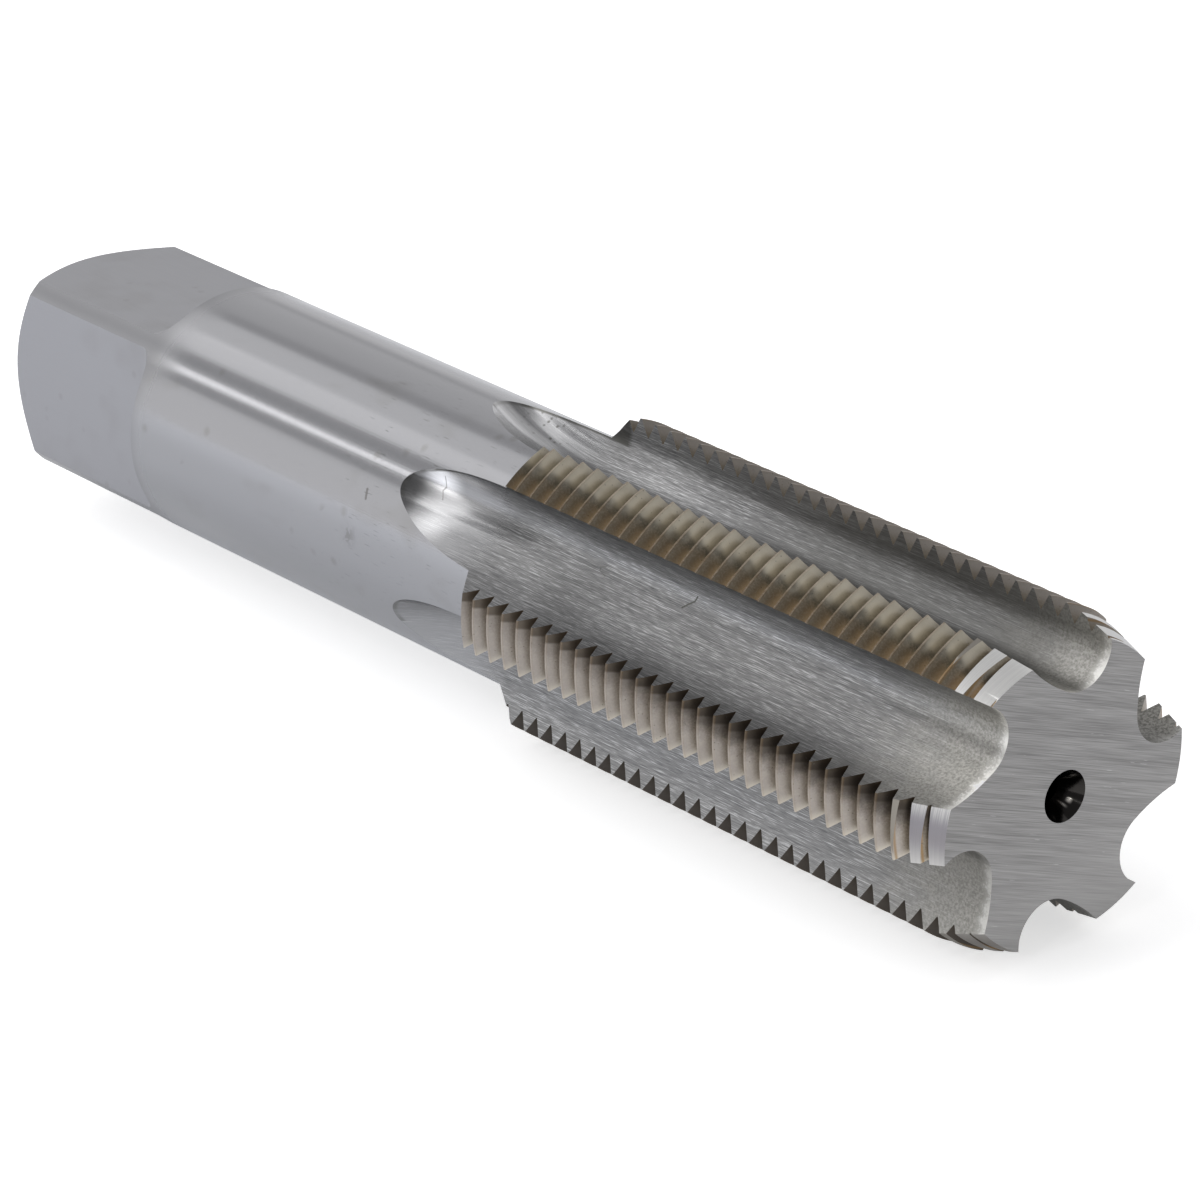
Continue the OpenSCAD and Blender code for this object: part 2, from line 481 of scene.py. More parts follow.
class CuttingTree(NodeBench):
    """Geometry Nodes tree that cuts the helical groove, the flutes, the square and the centres."""

    GROOVE_STEPS = 216
    SQUARE_SIDES = 4
    INPUTS = {
        "Float": ("Pitch", "Groove Start", "Groove Start Angle", "Root Radius", "Root Flat", "Cut Height"),
        "Int": ("Turns", "Steps Per Turn", "Flutes"),
        "Object": ("Flute Cutter", "Square Cutter", "Front Centre", "Rear Centre"),
        "Material": ("Groove Finish",),
    }

    def __init__(self) -> None:
        """Opens the tree and gives it its named inputs."""
        super().__init__(bpy.data.node_groups.new("cut_tap", "GeometryNodeTree"))
        face = self.tree.interface
        for way in ("INPUT", "OUTPUT"):
            face.new_socket("Geometry", in_out=way, socket_type="NodeSocketGeometry")
        self.identifiers = {
            name: face.new_socket(name, in_out="INPUT", socket_type=f"NodeSocket{kind}").identifier
            for kind, names in self.INPUTS.items()
            for name in names
        }
        self.given = self.tree.nodes.new("NodeGroupInput").outputs

    def build(self) -> bpy.types.NodeTree:
        """Fills the tree: every cutter is taken off the body, and what the groove leaves keeps its finish.

        Returns:
            The tree.
        """
        given = self.given
        cutters = [
            self.groove(),
            self.around(given["Flute Cutter"], given["Flutes"]),
            self.around(given["Square Cutter"], self.SQUARE_SIDES),
            self.form(given["Front Centre"]),
            self.form(given["Rear Centre"]),
        ]
        body = given["Geometry"]
        for cutter in cutters:
            meshes = {"Mesh 1": body, "Mesh 2": cutter}
            body = self.one("GeometryNodeMeshBoolean", meshes, operation="DIFFERENCE", solver="MANIFOLD")
        finish = {"Material": given["Groove Finish"]}
        grooved = self.one("GeometryNodeMaterialSelection", finish)
        real = self.one("GeometryNodeRealizeInstances", {"Geometry": body})
        done = self.one("GeometryNodeSetMaterial", {"Geometry": real, "Selection": grooved, **finish})
        self.add("NodeGroupOutput", {"Geometry": done})
        return self.tree

    def groove(self) -> Socket:
        """The helical groove as a solid: its section swept along a right-hand helix.

        Returns:
            Output with the closed groove solid.
        """
        given = self.given
        half_root = self.times(given["Root Flat"], 0.5)
        half_top = self.line(given["Cut Height"], SIXTY_DEG_SLOPE, half_root)
        top = self.plus(given["Root Radius"], given["Cut Height"])
        radii = [given["Root Radius"], given["Root Radius"], top, top]
        sides = [self.times(half_root, -1), half_root, half_top, self.times(half_top, -1)]
        count = len(radii)
        steps = self.times(given["Turns"], given["Steps Per Turn"])
        spine = self.one("GeometryNodeCurvePrimitiveLine", {"End": (0, 0, 1)})
        path = self.one("GeometryNodeResampleCurve", {"Curve": spine, "Count": steps}, mode="COUNT")
        ring = self.one("GeometryNodeCurvePrimitiveCircle", {"Resolution": count})
        tube = self.one("GeometryNodeCurveToMesh", {"Curve": path, "Profile Curve": ring, "Fill Caps": True})
        index = self.one("GeometryNodeInputIndex")
        column = self.math("FLOOR", self.over(self.plus(index, 0.5), count))
        corner = self.minus(index, self.times(column, count))
        turn = self.over(column, given["Steps Per Turn"])
        angle = self.line(turn, 2 * math.pi, given["Groove Start Angle"])
        height = self.line(turn, given["Pitch"], given["Groove Start"])
        radius = self.pick(corner, radii)
        place = self.one("ShaderNodeCombineXYZ", {
            "X": self.times(radius, self.math("COSINE", angle)),
            "Y": self.times(radius, self.math("SINE", angle)),
            "Z": self.plus(height, self.pick(corner, sides)),
        })
        tube = self.one("GeometryNodeSetPosition", {"Geometry": tube, "Position": place})
        return self.one("GeometryNodeSetMaterial", {"Geometry": tube, "Material": given["Groove Finish"]})

    def pick(self, number: Socket, values: list[Socket]) -> Socket:
        """Picks one of some values by its number.

        Args:
            number: Which value.
            values: The values.

        Returns:
            Output with the picked value.
        """
        node = self.add("GeometryNodeIndexSwitch", {"Index": number}, data_type="FLOAT")
        while len(node.index_switch_items) < len(values):
            node.index_switch_items.new()
        for i, value in enumerate(values):
            self.join(value, node.inputs[i + 1])
        return node.outputs[0]

    def form(self, cutter: Socket) -> Socket:
        """The form of a cutter's object."""
        return self.add("GeometryNodeObjectInfo", {"Object": cutter}).outputs["Geometry"]

    def around(self, cutter: Socket, count: Value) -> Socket:
        """Copies of a cutter, evenly turned about the axis.

        Args:
            cutter: Input that holds the cutter's object.
            count: How many copies.

        Returns:
            Output with the copies as instances.
        """
        spots = self.one("GeometryNodeMeshLine", {"Count": count, "Offset": (0, 0, 0)}, mode="OFFSET")
        turn = self.over(self.times(self.one("GeometryNodeInputIndex"), 2 * math.pi), count)
        spin = self.one("ShaderNodeCombineXYZ", {"Z": turn})
        given = {"Points": spots, "Instance": self.form(cutter), "Rotation": spin}
        return self.one("GeometryNodeInstanceOnPoints", given)


@dataclass(frozen=True)
class TapBody:
    """The tap itself: one piece, cut from the turned blank by the tree."""

    sizes: TapSizes
    turns: int = 35
    turns_ahead: int = 1
    first_land_deg: float = 30.0
    past_crests: float = 0.12
    sharp_deg: float = 20.0

    def build(self) -> bpy.types.Object:
        """Cuts the body and lays it down.

        Returns:
            The finished piece, in metres and in the frame of the solid model.
        """
        s = self.sizes
        blank = TurnedBlank(s).build()
        cutters = {
            "Flute Cutter": FluteCutter(s).build(),
            "Square Cutter": SquareCutter(s).build(),
            "Front Centre": CentreDrill(s, s.front_centre_d, s.total_len, -1).build(),
            "Rear Centre": CentreDrill(s, s.rear_centre_d, 0.0, 1).build(),
        }
        tree = CuttingTree()
        cut = blank.modifiers.new("cut_tap", "NODES")
        cut.node_group = tree.build()
        first = s.total_len - s.front_groove - s.pitch * self.first_land_deg / 360
        given = {
            "Pitch": s.pitch,
            "Turns": self.turns,
            "Steps Per Turn": tree.GROOVE_STEPS,
            "Groove Start": first - (self.turns - self.turns_ahead) * s.pitch,
            "Groove Start Angle": 0.0,
            "Root Radius": s.r_root,
            "Root Flat": s.root_flat,
            "Cut Height": s.tooth_h + self.past_crests,
            "Flutes": s.flutes,
            "Groove Finish": zone_material(Zone.THREAD),
            **cutters,
        }
        for name, value in given.items():
            cut[tree.identifiers[name]] = value
        show(blank)
        mesh = bpy.data.meshes.new_from_object(blank.evaluated_get(bpy.context.evaluated_depsgraph_get()))
        for helper in (blank, *cutters.values()):
            bpy.data.objects.remove(helper)
        mesh.name = "tap_steel"
        mesh.transform(s.lay_down())
        mesh.polygons.foreach_set("use_smooth", [True] * len(mesh.polygons))
        mesh.set_sharp_from_angle(angle=math.radians(self.sharp_deg))
        piece = bpy.data.objects.new("tap_steel", mesh)
        show(piece)
        return piece


class Group(Enum):
    """The shader node groups that the finishes share."""

    PLACE = "tap_place"
    GRAIN = "drawn_out_grain"
    SPECKS = "specks"
    BAND = "soft_band"
    PATH = "cutter_path"
    STROKE = "thin_stroke"


class GroupBench(NodeBench):
    """The bench of a shared group: a method for each group fills its tree, from its inputs to its outputs."""

    # Millimetres along for each degree round the tap, which keep the streaks of two flutes apart
    FLUTE_SPACING = 2.7
    # Where a speck fades, in cells, and where a stroke does, in shares of its width
    SPECK_EDGE = (0.15, 0.4)
    STROKE_EDGE = (0.3, 0.7)

    def open(self, takes: dict[str, float | None]) -> Sockets:
        """Gives the tree its inputs.

        Args:
            takes: Name and first value of each input; None is a vector.

        Returns:
            The outputs of the input node.
        """
        for name, value in takes.items():
            kind = "NodeSocketVector" if value is None else "NodeSocketFloat"
            socket = self.tree.interface.new_socket(name, in_out="INPUT", socket_type=kind)
            if value is not None:
                socket.default_value = value
        return self.tree.nodes.new("NodeGroupInput").outputs

    def close(self, gives: dict[str, Socket]) -> None:
        """Gives the tree its outputs, which are plain values."""
        for name in gives:
            self.tree.interface.new_socket(name, in_out="OUTPUT", socket_type="NodeSocketFloat")
        self.add("NodeGroupOutput", gives)

    def place(self) -> None:
        """Where a point lies on the tap, from its object coordinates.

        It puts out the distance behind the front face and from the axis in millimetres, the angle from the
        land's middle in degrees, positive towards the cutting edge, and the angle round the tap, where the lands
        stand at 30, 90, 150, 210, 270 and 330 degrees.
        """
        s = TapSizes()
        parts = self.parts(self.open({"Vector": None})["Vector"])
        across = self.times(parts["Y"], 1 / MM)
        up = self.line(parts["Z"], 1 / MM, -s.axis_h)
        lean = self.times(self.math("ARCTAN2", across, up), 180 / math.pi)
        theta = self.math("FLOORED_MODULO", self.line(lean, -1, 180 + s.rest_turn), 360)
        self.close({
            "Along": self.line(parts["X"], -1 / MM, s.total_len / 2),
            "Out": self.math("SQRT", self.line(across, across, self.times(up, up))),
            "Land Turn": self.minus(self.math("FLOORED_MODULO", theta, s.land_deg), s.land_deg / 2),
            "Round": theta,
        })

    def grain(self) -> None:
        """Grain drawn out along X, from 0 to 1 around one half: streaks if it is long, speckle if short."""
        given = self.open({"Vector": None, "Length": 3, "Width": 0.15, "Contrast": 1, "Detail": 3})
        long, wide = (self.over(1 / MM, given[name]) for name in ("Length", "Width"))
        scale = self.one("ShaderNodeCombineXYZ", {"X": long, "Y": wide, "Z": wide})
        drawn = self.one("ShaderNodeVectorMath", {0: given["Vector"], 1: scale}, operation="MULTIPLY")
        look = {"Vector": drawn, "Scale": 1, "Detail": given["Detail"], "Roughness": 0.6}
        centred = self.times(self.minus(self.one("ShaderNodeTexNoise", look), 0.5), given["Contrast"])
        self.close({"Grain": self.math("ADD", centred, 0.5, use_clamp=True)})

    def specks(self) -> None:
        """Scattered specks of a given size and share: 1 in a speck and 0 around it."""
        given = self.open({"Vector": None, "Size": 0.3, "Share": 0.3})
        look = {"Vector": given["Vector"], "Scale": self.over(1 / MM, given["Size"])}
        cells = self.add("ShaderNodeTexVoronoi", look).outputs
        chance = self.one("ShaderNodeSeparateColor", {"Color": cells["Color"]})
        low, high = self.SPECK_EDGE
        edge = {"Value": cells["Distance"], "From Min": low, "From Max": high, "To Min": 1, "To Max": 0}
        near = self.one("ShaderNodeMapRange", edge)
        self.close({"Specks": self.times(self.math("LESS_THAN", chance, given["Share"]), near)})

    def band(self) -> None:
        """One around a middle value, falling softly to nothing at a given reach on both sides."""
        given = self.open({"Value": 0, "Middle": 0, "Reach": 1})
        far = self.math("ABSOLUTE", self.minus(given["Value"], given["Middle"]))
        self.close({"Band": self.ramp(self.over(far, given["Reach"]), 0, 1, 1, 0)})

    def path(self) -> None:
        """Distances along, aside and deep in a flute, in metres, also where its cutter swings out."""
        s = TapSizes()
        given = self.open({"Along": 0, "Out": 0, "Round": 0})
        lean = self.flute_lean(given["Round"])
        turn = self.times(lean, math.pi / 180)
        high = self.times(given["Out"], self.math("COSINE", turn))
        past = self.most(self.minus(given["Along"], s.thread_len + s.flute_past), 0)
        left = self.minus(s.core_r + s.cutter_r, high)
        own = self.times(self.minus(given["Round"], lean), self.FLUTE_SPACING)
        self.close({
            "X": self.times(self.plus(given["Along"], own), MM),
            "Y": self.times(given["Out"], self.math("SINE", turn), MM),
            "Z": self.times(self.math("SQRT", self.line(left, left, self.times(past, past))), MM),
        })

    def stroke(self) -> None:
        """A thin straight stroke between two points of a surface, in millimetres: 1 on it and 0 beside it."""
        ends = {f"{end} {way}": 0 for end in ("From", "To") for way in ("Along", "Aside")}
        given = self.open({"Along": 0, "Aside": 0, **ends, "Width": 0.1})
        long, wide = (self.minus(given[f"To {way}"], given[f"From {way}"]) for way in ("Along", "Aside"))
        ahead, over = (self.minus(given[way], given[f"From {way}"]) for way in ("Along", "Aside"))
        met = self.line(ahead, long, self.times(over, wide))
        reach = self.line(long, long, self.times(wide, wide))
        share = self.math("DIVIDE", met, reach, use_clamp=True)
        off = [self.minus(at, self.times(share, way)) for at, way in ((ahead, long), (over, wide))]
        far = self.math("SQRT", self.line(off[0], off[0], self.times(off[1], off[1])))
        self.close({"Stroke": self.ramp(self.over(far, given["Width"]), *self.STROKE_EDGE, 1, 0)})


def shared_group(group: Group) -> bpy.types.NodeTree:
    """The tree of a shared group, filled the first time it is asked for.

    Args:
        group: Which group.

    Returns:
        The tree.
    """
    tree = bpy.data.node_groups.get(group.value)
    if tree is None:
        tree = bpy.data.node_groups.new(group.value, "ShaderNodeTree")
        bench = GroupBench(tree)
        fill = {
            Group.PLACE: bench.place,
            Group.GRAIN: bench.grain,
            Group.SPECKS: bench.specks,
            Group.BAND: bench.band,
            Group.PATH: bench.path,
            Group.STROKE: bench.stroke,
        }
        fill[group]()
    return tree


@dataclass(frozen=True)
class Hair:
    """A hair or a scratch: a thin line with a width in millimetres and a share from 0 to 1.

    Each corner is a distance behind the front face in millimetres and an angle round the tap in degrees.
    """

    corners: tuple[Flat, ...]
    width: float
    share: float


class FinishBench(NodeBench):
    """The bench of one material: its metal shader, its coordinates and the shared groups."""

    # The colour sockets of a Mix node
    MIX_FIRST, MIX_SECOND, MIX_RESULT = 6, 7, 2

    def __init__(self, zone: Zone) -> None:
        """Empties the zone's material and gives it a metal shader."""
        super().__init__(emptied(zone_material(zone)))
        self.shader = self.add("ShaderNodeBsdfPrincipled", {"Metallic": 1.0})
        self.add("ShaderNodeOutputMaterial", {"Surface": self.shader.outputs[0]})
        self.where = self.add("ShaderNodeTexCoord").outputs["Object"]
        self.along, self.out, self.turn, self.around = self.group(Group.PLACE, {"Vector": self.where})

    def group(self, group: Group, inputs: dict[str, object]) -> Sockets:
        """Adds a shared group and returns its outputs."""
        return self.add("ShaderNodeGroup", inputs, node_tree=shared_group(group)).outputs

    def grain(
        self, length: float, width: float, contrast: float, detail: float = 3, where: Socket | None = None
    ) -> Socket:
        """Grain drawn out along X, or along where's X."""
        given = {"Length": length, "Width": width, "Contrast": contrast, "Detail": detail}
        return self.group(Group.GRAIN, {"Vector": where or self.where, **given})["Grain"]

    def specks(self, size: float, share: float) -> Socket:
        """Scattered specks."""
        return self.group(Group.SPECKS, {"Vector": self.where, "Size": size, "Share": share})["Specks"]

    def band(self, value: Value, middle: float, reach: float) -> Socket:
        """A soft band of a value."""
        return self.group(Group.BAND, {"Value": value, "Middle": middle, "Reach": reach})["Band"]

    def side(self, round_deg: float, reach: float, *shares: Value) -> Socket:
        """A soft band along one side of the tap, times the shares."""
        return self.times(self.band(self.around, round_deg, reach), *shares)

    def spot(self, along: float, along_reach: float, round_deg: float, round_reach: float) -> Socket:
        """A soft spot, from its middle and its reach along the tap and round it."""
        return self.times(self.band(self.along, along, along_reach), self.side(round_deg, round_reach))

    def hairs(self, *hairs: Hair) -> Socket:
        """How much of each point some hairs cover.

        Args:
            hairs: The hairs.

        Returns:
            Output that is each hair's share on its line.
        """
        aside = self.times(self.around, MM_PER_DEG)
        found: list[Value] = [0]
        for hair in hairs:
            for start, end in zip(hair.corners, hair.corners[1:]):
                stroke = self.group(Group.STROKE, {
                    "Along": self.along, "Aside": aside, "Width": hair.width,
                    "From Along": start[0], "From Aside": start[1] * MM_PER_DEG,
                    "To Along": end[0], "To Aside": end[1] * MM_PER_DEG,
                })["Stroke"]
                found.append(self.times(stroke, hair.share))
        return self.most(*found)

    def mix(self, share: Value, first: Paint, second: Paint) -> Socket:
        """Mixes two colours."""
        given = {0: share, self.MIX_FIRST: first, self.MIX_SECOND: second}
        return self.add("ShaderNodeMix", given, data_type="RGBA").outputs[self.MIX_RESULT]

    def coats(self, base: Paint, *coats: tuple[Value, Paint]) -> Socket:
        """Lays coats of colour over a base, each with its share."""
        return reduce(lambda under, coat: self.mix(coat[0], under, coat[1]), coats, base)

    def finish(self, colour: Paint, roughness: Value, relief: Socket, depth: float) -> None:
        """Joins the colour, the roughness and the relief to the shader.

        Args:
            colour: Base colour.
            roughness: Roughness.
            relief: Relief from 0 to 1.
            depth: What 1 stands for, in millimetres.
        """
        bump = self.one("ShaderNodeBump", {"Height": relief, "Distance": depth * MM, "Strength": 1})
        for name, value in (("Base Color", colour), ("Roughness", roughness), ("Normal", bump)):
            self.join(value, self.shader.inputs[name])


class Finish(Protocol):
    """What every finish does."""

    def dress(self, b: FinishBench) -> None:
        """Lays the finish on the material of a bench."""


@dataclass(frozen=True)
class GroundShank:
    """Cylindrical grinding: nearly smooth, with very fine rings and a few faint smudges; the square's
    cylindrical corners carry a painted shade.
    """

    steel: Colour = (0.325, 0.325, 0.335)
    smudge: Colour = (0.25, 0.245, 0.235)
    # Painted shade on the square's cylindrical corners
    corner: Colour = (0.26, 0.26, 0.268)
    scratch: Colour = (0.16, 0.155, 0.15)
    roughness: float = 0.13
    ring_depth: float = 0.0005
    tick: Hair = Hair(((83.4, 243.8), (83.2, 247.6)), 0.3, 0.8)

    def dress(self, b: FinishBench) -> None:
        """Lays the finish on the material of a bench."""
        rings = b.grain(0.12, 6, 1.2)
        cloud = b.ramp(b.grain(9, 5, 1, 2), 0.55, 0.75)
        scratches = b.ramp(b.grain(1.4, 0.1, 1.7, 0.5), 0.9, 0.97)
        worked = b.ramp(b.along, 105, 84)
        blotched = b.ramp(b.grain(0.6, 0.6, 1.5, 1), 0.4, 0.6, 0.1, 0.5)
        colour = b.coats(
            self.steel,
            (b.times(cloud, 0.35), self.smudge),
            (b.times(b.specks(1.6, 0.03), 0.5), self.smudge),
            # Painted shade: the square's cylindrical corners are darker than the shank
            (b.ramp(b.along, 118.5, 121, 0, 0.8), self.corner),
            (b.times(scratches, worked, 0.6), self.scratch),
            (b.most(b.hairs(self.tick), b.times(b.spot(84.8, 1.6, 266, 7), blotched)), self.scratch),
        )
        square_end = b.ramp(b.along, 114, 121, 0, 0.16)
        b.finish(colour, b.plus(b.line(rings, 0.06, self.roughness), square_end), rings, self.ring_depth)


@dataclass(frozen=True)
class MilledFlat:
    """The flats of the square: even, with faint marks along the tap."""

    steel: Colour = (0.32, 0.32, 0.335)
    smudge: Colour = (0.25, 0.245, 0.245)
    roughness: float = 0.27
    line_depth: float = 0.0008

    def dress(self, b: FinishBench) -> None:
        """Lays the finish on the material of a bench."""
        lines = b.grain(5, 0.25, 1)
        cloud = b.ramp(b.grain(7, 7, 1, 2), 0.5, 0.75)
        colour = b.coats(
            self.steel,
            (b.times(cloud, 0.3), self.smudge),
            (b.times(b.specks(1.3, 0.05), 0.4), self.smudge),
        )
        b.finish(colour, b.line(lines, 0.1, self.roughness), lines, self.line_depth)


@dataclass(frozen=True)
class LightAndShadePatch:
    """A soft patch of painted light on the flutes, lighter than the rest, or of painted shade, darker, where its
    gain is negative; its gain is given at its strongest.

    Round the tap it has a middle and a reach, in degrees. Along the tap it has a middle and a reach in
    millimetres, or, if it grows, a start and the place from which it is at its strongest.
    """

    round_deg: float
    round_reach: float
    along: float
    along_to: float
    gain: float
    grows: bool = False

    def share(self, b: FinishBench) -> Socket:
        """What the patch adds to the level at each point."""
        fade = b.ramp if self.grows else b.band
        return b.side(self.round_deg, self.round_reach, fade(b.along, self.along, self.along_to), self.gain)


@dataclass(frozen=True)
class FluteFinish:
    """Brushed flute: streaks along the tap, a grainy front end and a light blasted lip, partly a painted
    highlight, under painted light and shade.
    """

    dark: Colour = (0.14, 0.14, 0.142)
    mid: Colour = (0.225, 0.224, 0.222)
    light: Colour = (0.46, 0.46, 0.46)
    shade: Colour = (0.24, 0.233, 0.212)
    grain: Colour = (0.47, 0.458, 0.425)
    # Painted light on the upright cutting face
    wall: Colour = (0.50, 0.465, 0.42)
    # Light lip by the face, blasted, and partly a painted highlight
    lip: Colour = (0.78, 0.77, 0.74)
    polished: Colour = (0.33, 0.33, 0.335)
    # Colour of the darker edges, the hairs and the painted shade
    darkening: Colour = (0.09, 0.088, 0.08)
    roughness: float = 0.26
    streak_depth: float = 0.01
    # Painted light and shade on the heel side, at the tip and the open end, above and below the painted glare,
    # and on the rear wall
    light_and_shade_patches: tuple[LightAndShadePatch, ...] = (
        LightAndShadePatch(249, 15, 62, 46, 0.5, grows=True),
        LightAndShadePatch(240, 22, 76.5, 78, -0.55, grows=True),
        LightAndShadePatch(182, 9, 72.5, 75.5, 0.75, grows=True),
        LightAndShadePatch(225.5, 7, 75.4, 2.6, 1.7),
        LightAndShadePatch(246, 9, 74.6, 2.8, 0.6),
        LightAndShadePatch(162, 14, 57, 9, 0.3),
    )
    # A hair, a loop and a curl
    hairs: tuple[Hair, ...] = (
        Hair(((42.2, 232), (41.6, 229), (40.9, 226.5), (40.6, 224)), 0.17, 1),
        Hair(((52.8, 234), (53.7, 232.6), (53.8, 230.5), (53.1, 229.2)), 0.12, 0.5),
        Hair(((75.3, 224.5), (75.1, 228), (75.4, 230), (75.1, 234)), 0.12, 0.5),
    )

    def dress(self, b: FinishBench) -> None:
        """Lays the finish on the material of a bench."""
        track = b.group(Group.PATH, {"Along": b.along, "Out": b.out, "Round": b.around})
        path = b.one("ShaderNodeCombineXYZ", {name: track[name] for name in "XYZ"})
        fine = b.grain(4.5, 0.075, 1.7, 1, path)
        short = b.grain(1.3, 0.07, 1.9, 1, path)
        broad = b.grain(14, 0.7, 1.3, 2, path)
        streak = b.line(fine, 0.45, b.line(short, 0.4, b.times(broad, 0.15)))
        mottle = b.grain(0.27, 0.24, 1.7, 2)
        cloud = b.grain(2.5, 1.2, 1.4, 1)
        walled = b.times(b.ramp(track["Y"], -4.2 * MM, -4.8 * MM), b.ramp(b.out, 11.5, 14.5))
        front = b.ramp(b.line(mottle, 3, b.line(cloud, 6, b.along)), 5.5, 22, 0.85, 0)
        lip = b.ramp(b.line(mottle, 1.3, b.line(cloud, 1.2, b.along)), 1.3, 2.5, 0.9, 0)
        run_out = b.ramp(b.line(fine, 3, b.along), 66.5, 73)
        colour = b.coats(
            self.dark,
            (b.ramp(streak, 0.28, 0.5), self.mid),
            (b.ramp(streak, 0.54, 0.74), self.light),
            # Painted light on the upright cutting face, growing towards the front
            (b.times(walled, b.ramp(b.along, 60, 30, 0, 0.25)), self.wall),
            (front, b.mix(b.ramp(mottle, 0.1, 0.9), self.shade, self.grain)),
            # The light lip, partly a painted highlight
            (lip, self.lip),
            (b.times(run_out, 0.75), self.polished),
        )
        # Painted light and shade scale the colour
        level = {0: colour, "Scale": self.level(b, walled)}
        colour = b.one("ShaderNodeVectorMath", level, operation="SCALE")
        # Darker edges, painted shade and hairs
        for darker_share in (*self.dark_marks_and_shade(b, walled, cloud, mottle), b.hairs(*self.hairs)):
            colour = b.mix(darker_share, colour, self.darkening)
        rough = b.line(run_out, -0.1, b.line(b.most(front, lip), 0.16, b.line(streak, 0.1, self.roughness)))
        b.finish(colour, rough, b.times(streak, b.line(run_out, -0.85, 1)), self.streak_depth)

    def level(self, b: FinishBench, walled: Socket) -> Socket:
        """Painted light and shade: how much lighter or darker each point is painted beside the plain streaks.

        Args:
            b: The material's bench.
            walled: Share of the upright cutting face.

        Returns:
            Output that is 1 where nothing changes.
        """
        lean = b.flute_lean(b.around)
        return b.plus(
            1,
            # Painted light on the far flute's cutting face
            b.times(walled, b.side(160, 12), 0.25),
            # Painted shade by each flute's cutting face, stronger towards the front
            b.times(b.band(lean, -9, 6.5), b.ramp(b.along, 22, 8, -0.2, -0.4)),
            # Painted shade by the cutting face near the run-out
            b.times(b.band(lean, -8, 12), b.band(b.along, 66.5, 6.5), -0.4),
            *(patch.share(b) for patch in self.light_and_shade_patches),
        )

    @staticmethod
    def dark_marks_and_shade(b: FinishBench, walled: Socket, cloud: Socket, mottle: Socket) -> tuple[Socket, Socket]:
        """The darker edges of the flute's end, and the painted shade forward, at the far sides and by the lands,
        with a few dark specks.

        Args:
            b: The material's bench.
            walled: Share of the upright cutting face.
            cloud: Broad uneven grain.
            mottle: Small uneven grain.

        Returns:
            Outputs with the shares of the darker edges and of the painted shade with its specks.
        """
        shank = TapSizes().r_shank
        rim = b.times(
            b.ramp(b.out, shank - 0.3, shank - 0.1),
            b.ramp(cloud, 0.2, 0.5, 0.45, 0.9),
            b.ramp(b.along, 80, 77.5, 0.1, 1),
        )
        corner = b.times(b.band(b.along, 64.8, 1.3), b.band(b.turn, 11, 3), b.ramp(b.out, 12, 12.8))
        # Darker along the flute's edge by the shank and in the corner by the shoulder
        darker_edges = b.times(b.ramp(b.turn, 2, 6), b.ramp(b.along, 63.8, 64.6), b.most(rim, corner))
        # Painted shade on the far flute, strongest forward of its middle but not at the face, less on the
        # cutting face
        shaded = b.times(b.ramp(b.along, 54, 32, 0.05, 0.68), b.ramp(b.along, 2, 9), b.line(walled, -0.35, 1))
        # Painted shade forward on the far sides, on the far and lower flutes, with dark specks at one run-out
        painted_shade_and_specks = b.most(
            b.times(b.ramp(b.around, 150, 135), b.ramp(mottle, 0.2, 0.7, 0.9, 0.6), b.ramp(b.along, 20, 8)),
            b.side(172, 45, shaded),
            b.side(300, 40, b.ramp(b.along, 26, 4, 0.05, 0.45)),
            b.times(b.specks(0.55, 0.3), b.spot(74, 4.5, 166, 12)),
        )
        return darker_edges, painted_shade_and_specks


